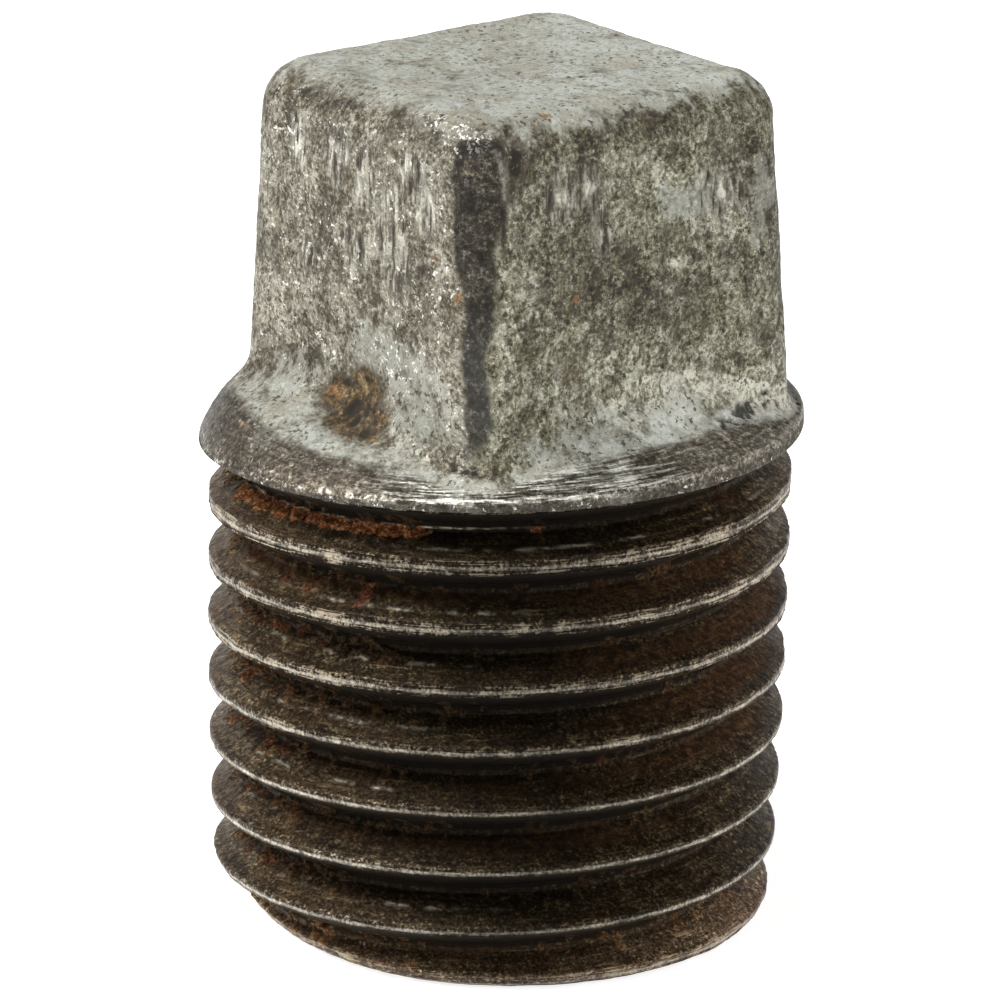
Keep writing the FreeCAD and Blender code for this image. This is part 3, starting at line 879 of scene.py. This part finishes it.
def zinc_material():
    m = Mat("weathered_zinc")
    cav, up, band = m.attr("cav"), m.attr("up"), m.attr("band")
    rust, pit, pale = m.attr("rust"), m.attr("pit"), m.attr("pale")
    rim, drag, right = m.attr("rim"), m.attr("drag"), m.attr("right")
    black, edge, front = m.attr("black"), m.attr("edge"), m.attr("front")
    zone, glint_spots, lip = m.attr("zone"), m.attr("glint_spots"), m.attr("lip")
    n_big = m.noise(0.50, 3.0, 0.6, 0.5)
    n_mid = m.noise(1.5, 5.0, 0.62, 0.4, off=7.0)
    n_fin = m.noise(4.8, 4.0, 0.70, 0.2, off=3.0)
    n_grn = m.noise(10.5, 3.0, 0.80, 0.0, off=11.0)
    grain = m.math("ADD", m.math("MULTIPLY", n_fin, 0.40), m.math("MULTIPLY", n_grn, 0.60))
    g = m.range(grain, 0.36, 0.64, 0.0, 1.0, kind="LINEAR")
    # side faces: coarse grey-beige grains over olive-brown
    t = m.math("ADD", m.wsum(0.495, [(n_grn, 1.95), (n_fin, 1.40), (n_mid, 1.05), (n_big, 0.65)]), zone)
    side = m.ramp(t, [
        (0.0, (0.013, 0.009, 0.005)), (0.22, (0.046, 0.038, 0.024)), (0.40, (0.112, 0.097, 0.068)), (0.53, (0.183, 0.168, 0.127)),
        (0.68, (0.268, 0.252, 0.200)), (0.84, (0.39, 0.368, 0.300)), (1.0, (0.58, 0.55, 0.46))])
    # faces turned to the right get a darker, browner copy of the zinc: painted shade, with real brown staining too
    rside_shade_and_stain = m.ramp(t, [
        (0.0, (0.009, 0.006, 0.003)), (0.22, (0.031, 0.025, 0.014)), (0.40, (0.082, 0.073, 0.044)), (0.53, (0.143, 0.134, 0.089)),
        (0.68, (0.222, 0.214, 0.152)), (0.84, (0.355, 0.345, 0.265)), (1.0, (0.58, 0.56, 0.47))])
    side = m.mix(m.range(right, 0.1, 0.9), side, rside_shade_and_stain)
    # upward faces get a paler, bluer copy of the zinc: fresher zinc, and painted light from above
    tf = m.math("ADD", m.wsum(0.5, [(n_grn, 1.0), (n_fin, 0.9), (n_mid, 0.85), (n_big, 0.3)]), m.math("MULTIPLY", zone, 1.2))
    fresh_and_toplit = m.ramp(tf, [
        (0.0, (0.060, 0.050, 0.032)), (0.26, (0.175, 0.167, 0.132)), (0.50, (0.300, 0.306, 0.266)),
        (0.72, (0.390, 0.408, 0.370)), (1.0, (0.58, 0.59, 0.54))])
    up_w = m.range(m.math("ADD", up, m.math("MULTIPLY", m.math("SUBTRACT", n_mid, 0.5), 1.3)), 0.55, 0.92)
    pale_w = m.range(m.math("ADD", m.math("MULTIPLY", pale, 0.62), m.math("MULTIPLY", m.math("SUBTRACT", n_mid, 0.5), 2.4)), 0.10, 0.52)
    pale_w = m.math("MULTIPLY", pale_w, m.range(pale, 0.05, 0.4))
    fr = m.mix(m.math("MULTIPLY", m.math("SUBTRACT", 1.0, up_w), 0.5), fresh_and_toplit, (0.215, 0.212, 0.172))
    col = m.mix(m.math("MAXIMUM", up_w, m.math("MULTIPLY", pale_w, 0.75)), side, fr)
    # tan bloom on the top
    tan = m.math("MULTIPLY", m.range(m.noise(0.80, 4.0, 0.7, 0.6, off=27.0), 0.48, 0.62), up_w)
    col = m.mix(m.math("MULTIPLY", tan, 0.50), col, (0.23, 0.205, 0.15))
    # faint upright smears
    sm = m.noise(1.0, 3.0, 0.6, 0.2, co=m.scale((2.8, 2.8, 0.55)), off=33.0)
    sm = m.math("MULTIPLY", m.range(sm, 0.44, 0.34), m.math("SUBTRACT", 1.0, m.math("MAXIMUM", up_w, m.math("MULTIPLY", pale_w, 0.7))))
    col = m.mix(m.math("MULTIPLY", sm, 0.38), col, (0.052, 0.044, 0.030))
    # pinprick pits
    spk = m.range(m.noise(7.5, 2.0, 0.60, 0.0, off=41.0), 0.595, 0.635)
    spk = m.math("MULTIPLY", spk, m.range(m.noise(1.1, 2.0, 0.5, 0.0, off=45.0), 0.36, 0.56, 0.35, 1.0))
    col = m.mix(m.math("MULTIPLY", spk, 0.85), col, (0.026, 0.021, 0.013))
    # darker in the hollows, less so on the top
    col = m.mix(m.math("MULTIPLY", m.range(cav, 0.62, 1.0), m.mixf(up_w, 0.60, 0.35)), col, (0.052, 0.042, 0.026))
    # brown-olive stain in patches, yellower on some, purple-grey on others
    st = m.range(m.noise(0.95, 4.0, 0.70, 0.8, off=21.0), 0.50, 0.62)
    st = m.math("MULTIPLY", st, m.math("SUBTRACT", 1.0, m.math("MULTIPLY", m.math("MAXIMUM", up_w, pale_w), 0.85)))
    stc = m.mix(m.range(m.noise(1.3, 2.0, 0.5, 0.3, off=52.0), 0.44, 0.58), (0.125, 0.100, 0.050), (0.085, 0.072, 0.062))
    stc = m.mix(m.range(g, 0.35, 0.85), (0.045, 0.035, 0.020), stc)
    col = m.mix(m.math("MULTIPLY", st, 0.50), col, stc)
    # upright drag marks: dark cuts and torn bright threads
    drag = m.attr("drag")
    strand = m.noise(1.0, 2.0, 0.6, 0.25, co=m.scale((9.0, 9.0, 1.1)), off=5.0)
    wide = m.noise(1.0, 2.0, 0.5, 0.0, co=m.scale((2.6, 2.6, 1.1)), off=15.0)
    cutw = m.math("MULTIPLY", m.range(m.math("ADD", strand, m.math("MULTIPLY", m.math("SUBTRACT", wide, 0.5), 0.5)), 0.475, 0.405), drag)
    litw = m.math("MULTIPLY", m.range(m.math("ADD", strand, m.math("MULTIPLY", m.math("SUBTRACT", wide, 0.5), 0.7)), 0.53, 0.61), drag)
    litw = m.math("MULTIPLY", litw, m.range(n_grn, 0.38, 0.56, 0.35, 1.0))
    col = m.mix(m.math("MULTIPLY", drag, 0.40), col, (0.120, 0.108, 0.084))
    # the torn bright threads are painted dimmer on the right-facing faces: painted shade
    col = m.mix(m.math("MULTIPLY", litw, m.mixf(m.range(right, 0.1, 0.9), 0.60, 0.26)), col, (0.46, 0.445, 0.365))
    col = m.mix(m.math("MULTIPLY", cutw, 0.86), col, (0.027, 0.020, 0.014))
    col = m.mix(m.math("MULTIPLY", m.attr("cut"), 0.45), col, (0.036, 0.029, 0.021))
    # bruised strip
    bm = m.range(m.wsum(0.0, [(n_fin, 1.1), (n_mid, 0.9), (n_grn, 0.6)]), -0.5, 0.5, -0.5, 0.5, kind="LINEAR")
    bmask = m.range(m.math("ADD", band, m.math("MULTIPLY", bm, 1.2)), 0.10, 0.60)
    bcol = m.ramp(m.wsum(0.5, [(n_fin, 1.6), (n_mid, 1.2), (n_grn, 1.6)]), [
        (0.0, (0.003, 0.002, 0.001)), (0.30, (0.008, 0.006, 0.003)), (0.55, (0.014, 0.010, 0.007)), (0.78, (0.046, 0.038, 0.026)), (1.0, (0.15, 0.13, 0.095))])
    low = m.range(m.math("MULTIPLY", zsock(m), 1.0), 15.8, 14.6)
    bcol = m.mix(m.math("MULTIPLY", low, 0.55), bcol, (0.024, 0.025, 0.023))
    col = m.mix(m.math("MULTIPLY", bmask, 0.95), col, bcol)
    # torn bright lip beside it
    rw_ = m.math("MULTIPLY", m.attr("ridge"), m.range(n_grn, 0.36, 0.54, 0.25, 1.0))
    col = m.mix(m.math("MULTIPLY", rw_, 0.85), col, (0.66, 0.63, 0.54))
    # machined shoulder: bright broken rings in front as a painted reflection, dull and brown elsewhere
    rg = m.noise(1.0, 4.0, 0.68, 0.0, co=m.attr("ringco", True))
    rcol = m.ramp(m.wsum(0.45, [(rg, 4.2), (n_grn, 1.3), (n_mid, 1.2)]), [
        (0.0, (0.010, 0.008, 0.005)), (0.28, (0.050, 0.044, 0.033)), (0.50, (0.175, 0.165, 0.135)), (0.70, (0.36, 0.35, 0.305)), (1.0, (0.80, 0.79, 0.73))])
    dull = m.ramp(m.math("ADD", m.wsum(0.46, [(rg, 0.8), (n_grn, 1.9), (n_fin, 1.3)]), m.math("MULTIPLY", zone, 0.75)), [
        (0.0, (0.012, 0.008, 0.005)), (0.32, (0.040, 0.031, 0.021)), (0.58, (0.098, 0.081, 0.059)), (0.80, (0.20, 0.175, 0.135)), (1.0, (0.50, 0.45, 0.36))])
    rcol = m.mix(m.math("MULTIPLY", front, m.range(n_mid, 0.30, 0.46)), dull, rcol)
    col = m.mix(m.math("MULTIPLY", rim, m.mixf(pale_w, 0.97, 0.75)), col, rcol)
    # the cut face below the rim's edge is dark
    lcol = m.ramp(m.wsum(0.5, [(n_grn, 1.6), (n_fin, 1.2), (rg, 0.8)]), [
        (0.0, (0.008, 0.006, 0.004)), (0.35, (0.030, 0.025, 0.018)), (0.65, (0.070, 0.060, 0.045)), (1.0, (0.24, 0.21, 0.165))])
    col = m.mix(m.math("MULTIPLY", lip, 0.92), col, lcol)
    # worn edge of the rim, its bright line partly a painted highlight along the rounded edge
    ew = m.math("MULTIPLY", edge, m.range(m.math("ADD", m.math("MULTIPLY", n_fin, 0.35), m.math("MULTIPLY", n_grn, 0.65)), 0.48, 0.60))
    col = m.mix(m.math("MULTIPLY", ew, 0.75), col, (0.52, 0.485, 0.415))
    # the stained pit, black hollows, and rust
    pc = m.ramp(m.range(m.math("ADD", m.math("MULTIPLY", m.noise(3.2, 4.0, 0.75, 0.3, off=61.0), 0.5), m.math("MULTIPLY", grain, 0.5)), 0.41, 0.61, kind="LINEAR"), [
        (0.0, (0.007, 0.004, 0.002)), (0.36, (0.030, 0.018, 0.007)), (0.66, (0.098, 0.063, 0.025)), (1.0, (0.25, 0.195, 0.105))])
    pw = m.range(m.math("ADD", pit, m.math("MULTIPLY", m.math("SUBTRACT", n_fin, 0.5), 1.1)), 0.18, 0.50)
    col = m.mix(m.math("MULTIPLY", pw, 0.93), col, pc)
    col = m.mix(m.math("MULTIPLY", m.range(m.math("ADD", black, m.math("MULTIPLY", m.math("SUBTRACT", n_fin, 0.5), 0.8)), 0.25, 0.7), 0.92),
                col, (0.014, 0.011, 0.007))
    rc = m.mix(m.range(n_grn, 0.35, 0.65), (0.075, 0.035, 0.012), (0.23, 0.125, 0.045))
    col = m.mix(m.math("MULTIPLY", m.range(rust, 0.25, 0.65), 0.85), col, rc)
    # painted glints: small bright specks on the crystals, fewer on the top, in the bruised strip and on the
    # right-facing faces
    spn = m.math("ADD", m.noise(8.0, 3.0, 0.7, 0.3, off=31.0), m.math("MULTIPLY", glint_spots, 0.085))
    glint_w = m.math("MULTIPLY", m.range(spn, 0.60, 0.645),
                m.math("SUBTRACT", 1.0, m.math("MAXIMUM", m.math("MULTIPLY", m.math("SUBTRACT", up, glint_spots), 0.8), m.math("MULTIPLY", bmask, 0.8))))
    glint_w = m.math("MULTIPLY", glint_w, m.range(m.math("ADD", n_mid, m.math("MULTIPLY", glint_spots, 0.2)), 0.40, 0.60))
    glint_w = m.math("MULTIPLY", glint_w, m.math("SUBTRACT", 1.0, m.math("MULTIPLY", m.range(right, 0.1, 0.9), 0.6)))
    glint_w = m.math("MULTIPLY", glint_w, m.range(pit, 0.25, 0.08))
    col = m.mix(m.math("MULTIPLY", glint_w, 0.75), col, (0.88, 0.87, 0.80))
    m.put(m.b.inputs["Base Color"], col)
    rough = m.mixf(g, 0.78, 0.50)
    rough = m.mixf(glint_w, rough, 0.30)
    rough = m.mixf(m.math("MULTIPLY", rim, 0.7), rough, 0.40)
    bad = m.math("MAXIMUM", m.math("MAXIMUM", m.math("MAXIMUM", rust, pit), black), m.math("MAXIMUM", bmask, lip))
    rough = m.mixf(m.range(bad, 0.2, 0.7), rough, 0.88)
    m.put(m.b.inputs["Roughness"], rough)
    metal = m.mixf(m.range(g, 0.30, 0.75), 0.10, 0.45)
    m.b.inputs["Specular IOR Level"].default_value = 0.32
    metal = m.mixf(up_w, metal, 0.12)
    metal = m.mixf(m.math("MULTIPLY", rim, 0.8), metal, 0.75)
    metal = m.mixf(m.range(bad, 0.2, 0.7), metal, 0.0)
    m.put(m.b.inputs["Metallic"], metal)
    h = m.math("ADD", m.math("MULTIPLY", grain, 0.7), m.math("MULTIPLY", n_mid, 1.2))
    h = m.math("SUBTRACT", h, m.math("MULTIPLY", cutw, 0.6))
    nb = m.bump(h, 0.55, 0.000070)
    nb = m.bump(m.math("MULTIPLY", rg, rim), 0.4, 0.00003, nb)
    m.put(m.b.inputs["Normal"], nb)
    return m.m


def iron_material():
    m = Mat("bare_iron_thread")
    crest, cup, root, rust = m.attr("crest"), m.attr("crestup"), m.attr("root"), m.attr("rust")
    crest_ls, flank_ls, brown = m.attr("crest_lightshade"), m.attr("flank_lightshade"), m.attr("brown")
    dirt, lead, nick = m.attr("dirt"), m.attr("lead"), m.attr("nick")
    tco = m.attr("toolco", True)
    n_big = m.noise(0.42, 3.0, 0.6, 0.4)
    n_mid = m.noise(1.7, 4.0, 0.62, 0.3, off=5.0)
    n_fin = m.noise(6.0, 4.0, 0.70, 0.0, off=9.0)
    n_grn = m.noise(14.0, 3.0, 0.7, 0.0, off=2.0)
    line = m.noise(1.0, 4.0, 0.66, 0.0, co=tco)
    line2 = m.noise(2.4, 2.0, 0.6, 0.0, co=tco, off=4.0)
    shadow_under_crest = m.attr("shadow_under_crest")
    tone = m.wsum(0.47, [(n_grn, 2.1), (n_fin, 1.4), (n_mid, 0.7), (line, 0.8)])
    col = m.ramp(tone, [
        (0.0, (0.008, 0.005, 0.003)), (0.28, (0.026, 0.019, 0.013)), (0.50, (0.060, 0.048, 0.036)), (0.68, (0.115, 0.095, 0.073)),
        (0.84, (0.25, 0.215, 0.170)), (1.0, (0.52, 0.46, 0.37))])
    # purple-brown patina
    film = m.range(m.math("ADD", n_big, m.math("MULTIPLY", n_mid, 0.5)), 0.66, 0.88)
    fcol = m.mix(m.range(n_grn, 0.38, 0.62), (0.030, 0.018, 0.013), (0.120, 0.085, 0.070))
    col = m.mix(m.math("MULTIPLY", film, 0.55), col, fcol)
    # pale scraped lines that follow the turns, most on the middle of the flank
    pl = m.math("MULTIPLY", m.range(line2, 0.58, 0.67), m.range(n_mid, 0.44, 0.60))
    col = m.mix(m.math("MULTIPLY", pl, 0.38), col, (0.48, 0.43, 0.33))
    # painted shade and dirt in the root, and painted shadow on the downward-facing flank under each crest
    col = m.mix(m.math("MULTIPLY", root, 0.60), col, (0.012, 0.009, 0.005))
    col = m.mix(m.math("MULTIPLY", shadow_under_crest, 0.85), col, (0.012, 0.008, 0.004))
    dc = m.mix(m.range(n_grn, 0.44, 0.64), m.mix(m.range(n_mid, 0.42, 0.58), (0.010, 0.007, 0.004), (0.075, 0.028, 0.011)),
               (0.17, 0.135, 0.092))
    col = m.mix(m.math("MULTIPLY", m.range(dirt, 0.2, 0.8), 0.85), col, dc)
    # reddish brown stain
    bc = m.mix(m.range(n_fin, 0.40, 0.62), (0.030, 0.013, 0.006), (0.105, 0.052, 0.024))
    col = m.mix(m.math("MULTIPLY", m.range(m.math("ADD", brown, m.math("MULTIPLY", m.math("SUBTRACT", n_mid, 0.5), 1.2)), 0.2, 0.8), 0.65), col, bc)
    # painted light and shade round the thread, multiplied into the colour
    gm = m.nt.nodes.new("ShaderNodeMix")
    gm.data_type = "RGBA"
    gm.blend_type = "MULTIPLY"
    gm.inputs[0].default_value = 1.0
    m.put(gm.inputs[6], col)
    gr = m.nt.nodes.new("ShaderNodeCombineColor")
    m.put(gr.inputs[0], m.math("MULTIPLY", flank_ls, 1.44))
    m.put(gr.inputs[1], m.math("MULTIPLY", flank_ls, 1.23))
    m.put(gr.inputs[2], m.math("MULTIPLY", m.math("POWER", flank_ls, 1.10), 0.92))
    m.put(gm.inputs[7], gr.outputs[0])
    col = gm.outputs[2]
    # painted glints: broken bright streaks along the turns
    col = m.mix(m.math("MULTIPLY", m.attr("glint"), m.range(n_fin, 0.40, 0.54, 0.15, 0.75)), col, (0.44, 0.40, 0.31))
    # rust
    rc = m.ramp(m.range(m.math("ADD", m.math("MULTIPLY", n_grn, 0.5), m.math("MULTIPLY", n_fin, 0.5)), 0.37, 0.63, kind="LINEAR"), [
        (0.0, (0.018, 0.006, 0.002)), (0.38, (0.075, 0.026, 0.009)), (0.70, (0.21, 0.078, 0.026)), (1.0, (0.42, 0.21, 0.10))])
    rw = m.range(m.math("ADD", rust, m.math("MULTIPLY", m.math("SUBTRACT", n_fin, 0.5), 0.9)), 0.22, 0.52)
    rw = m.math("MULTIPLY", rw, 0.92)
    col = m.mix(rw, col, rc)
    rd = m.ramp(m.range(m.math("ADD", m.math("MULTIPLY", n_grn, 0.5), m.math("MULTIPLY", n_fin, 0.5)), 0.38, 0.63, kind="LINEAR"), [
        (0.0, (0.010, 0.004, 0.002)), (0.42, (0.042, 0.014, 0.006)), (0.75, (0.112, 0.038, 0.015)), (1.0, (0.25, 0.120, 0.065))])
    rdw = m.range(m.math("ADD", m.attr("rustd"), m.math("MULTIPLY", m.math("SUBTRACT", n_fin, 0.5), 0.9)), 0.22, 0.52)
    col = m.mix(m.math("MULTIPLY", rdw, 0.90), col, rd)
    # worn crest: a grainy beige shoulder above a thin bright line of bare metal, both painted stronger or weaker round
    # the thread as painted light and shade
    ug = m.wsum(0.0, [(n_grn, 0.65), (n_fin, 0.45)])
    uw = m.range(m.math("ADD", ug, m.math("MULTIPLY", cup, 0.16)), 0.090, 0.22)
    uw = m.math("MULTIPLY", m.math("MULTIPLY", uw, m.range(cup, 0.02, 0.25)), m.range(crest_ls, 0.05, 0.6, 0.10, 1.0))
    col = m.mix(uw, col, m.mix(m.range(n_grn, 0.46, 0.64), (0.088, 0.075, 0.058), (0.25, 0.223, 0.176)))
    cw = m.math("MULTIPLY", crest, m.range(m.math("SUBTRACT", m.math("ADD", n_fin, m.math("MULTIPLY", line, 0.3)),
                                              m.math("MULTIPLY", nick, 0.25)), 0.42, 0.62, 0.45, 1.0))
    cw = m.math("MULTIPLY", cw, m.range(crest_ls, 0.05, 0.6, 0.16, 1.0, kind="LINEAR"))
    cw = m.math("MULTIPLY", cw, m.range(m.wsum(0.5, [(n_mid, 1.0), (line2, 0.6)]), 0.38, 0.60, 0.40, 1.0))
    cc = m.mix(m.range(n_grn, 0.38, 0.60), (0.28, 0.248, 0.196), (0.72, 0.68, 0.585))
    col = m.mix(cw, col, cc)
    # the lead chamfer's bare metal is also weighted by the painted light and shade round the thread
    lw = m.math("MULTIPLY", lead, m.range(m.wsum(0.5, [(line2, 1.3), (n_mid, 1.0), (n_grn, 0.9)]), 0.52, 0.74))
    col = m.mix(m.math("MULTIPLY", lw, m.range(crest_ls, 0.05, 0.55, 0.25, 0.85)), col, (0.40, 0.34, 0.25))
    m.put(m.b.inputs["Base Color"], col)
    rough = m.mixf(m.range(n_fin, 0.35, 0.65), 0.56, 0.38)
    rough = m.mixf(cw, rough, 0.36)
    rusty = m.math("MAXIMUM", m.math("MAXIMUM", m.math("MAXIMUM", rw, rdw), m.range(dirt, 0.2, 0.8)), m.math("MULTIPLY", brown, 0.6))
    rough = m.mixf(rusty, rough, 0.88)
    rough = m.mixf(shadow_under_crest, rough, 0.85)
    m.put(m.b.inputs["Roughness"], rough)
    metal = m.mixf(rusty, m.mixf(cw, 0.50, 0.95), 0.0)
    metal = m.math("MULTIPLY", metal, m.math("SUBTRACT", 1.0, m.math("MULTIPLY", shadow_under_crest, 0.85)))
    m.put(m.b.inputs["Metallic"], metal)
    m.b.inputs["Specular IOR Level"].default_value = 0.10
    nb = m.bump(m.math("ADD", n_fin, m.math("MULTIPLY", n_grn, 0.5)), 0.4, 0.00004)
    nb = m.bump(m.math("ADD", line, m.math("MULTIPLY", line2, 0.5)), 0.3, 0.00003, nb)
    nb = m.bump(m.math("MULTIPLY", n_grn, m.math("MAXIMUM", rw, dirt)), 0.6, 0.00006, nb)
    m.put(m.b.inputs["Normal"], nb)
    return m.m


zinc = zinc_material()
iron = iron_material()
head.data.materials.append(zinc)
shank.data.materials.append(iron)
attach(head, "root")
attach(shank, "root")
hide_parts("zinc_coating")
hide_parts("plug_body")

# ---------------------------------------------------------------------------
# Floor, light and camera
# ---------------------------------------------------------------------------
floor_me = bpy.data.meshes.new("floor")
fz = cad_lo[2] - 0.00002
floor_me.from_pydata([(-3, -3, fz), (3, -3, fz), (3, 3, fz), (-3, 3, fz)], [], [(0, 1, 2, 3)])
floor = bpy.data.objects.new("floor", floor_me)
bpy.context.scene.collection.objects.link(floor)
fm = Mat("pale_floor")
fm.put(fm.b.inputs["Base Color"], (0.55, 0.55, 0.55, 1.0))
fm.b.inputs["Roughness"].default_value = 0.95
fm.b.inputs["Specular IOR Level"].default_value = 0.0
fm.b.inputs["Emission Color"].default_value = (1.0, 1.0, 1.0, 1.0)
fm.b.inputs["Emission Strength"].default_value = 0.80
floor.data.materials.append(fm.m)

world = bpy.data.worlds.new("studio")
bpy.context.scene.world = world
world.use_nodes = True
wn = world.node_tree
wn.nodes.clear()
wo = wn.nodes.new("ShaderNodeOutputWorld")
bg = wn.nodes.new("ShaderNodeBackground")
tc = wn.nodes.new("ShaderNodeTexCoord")
sx = wn.nodes.new("ShaderNodeSeparateXYZ")
cr = wn.nodes.new("ShaderNodeValToRGB")
wn.links.new(tc.outputs["Generated"], sx.inputs[0])
wn.links.new(sx.outputs[2], cr.inputs[0])
wn.links.new(cr.outputs[0], bg.inputs[0])
wn.links.new(bg.outputs[0], wo.inputs[0])
e = cr.color_ramp.elements
e[0].position, e[0].color = 0.22, (0.80, 0.80, 0.80, 1)
e[1].position, e[1].color = 0.68, (0.055, 0.055, 0.058, 1)
bg.inputs[1].default_value = 1.0


def softbox(name, right, front, up, size, power, target=(0, 0, 0.010), colour=(1, 1, 1)):
    la = bpy.data.lights.new(name, "AREA")
    la.shape = "RECTANGLE"
    la.size, la.size_y = size
    la.energy = power
    la.color = colour
    ob = bpy.data.objects.new(name, la)
    bpy.context.scene.collection.objects.link(ob)
    pos = RIGHT * right + FRONT * front + np.array([0, 0, up])
    ob.location = Vector(pos)
    d = Vector(target) - ob.location
    ob.rotation_mode = "QUATERNION"
    ob.rotation_quaternion = d.to_track_quat("-Z", "Y")
    return ob


softbox("key", -0.26, 0.10, 0.36, (0.24, 0.24), 3.3)
softbox("fill", 0.26, 0.24, 0.24, (0.24, 0.24), 0.7)

cam_d = bpy.data.cameras.new("camera")
cam = bpy.data.objects.new("camera", cam_d)
bpy.context.scene.collection.objects.link(cam)
bpy.context.scene.camera = cam
el = 0.29632
aim = Vector((0.0000046, 0.0000061, 0.0095377))
back = Vector((math.sin(A) * math.cos(el), -math.cos(A) * math.cos(el), math.sin(el)))
cam.location = aim + back * 0.1219096
cam.rotation_mode = "QUATERNION"
roll = Matrix.Rotation(0.01936, 3, back)
cam.rotation_quaternion = (roll @ (-back).to_track_quat("-Z", "Y").to_matrix()).to_quaternion()
cam_d.sensor_width = 36.0
cam_d.lens = 192.92
cam_d.clip_start, cam_d.clip_end = 0.005, 10.0
cam_d.dof.use_dof = False

bpy.context.scene.view_settings.view_transform = "Standard"
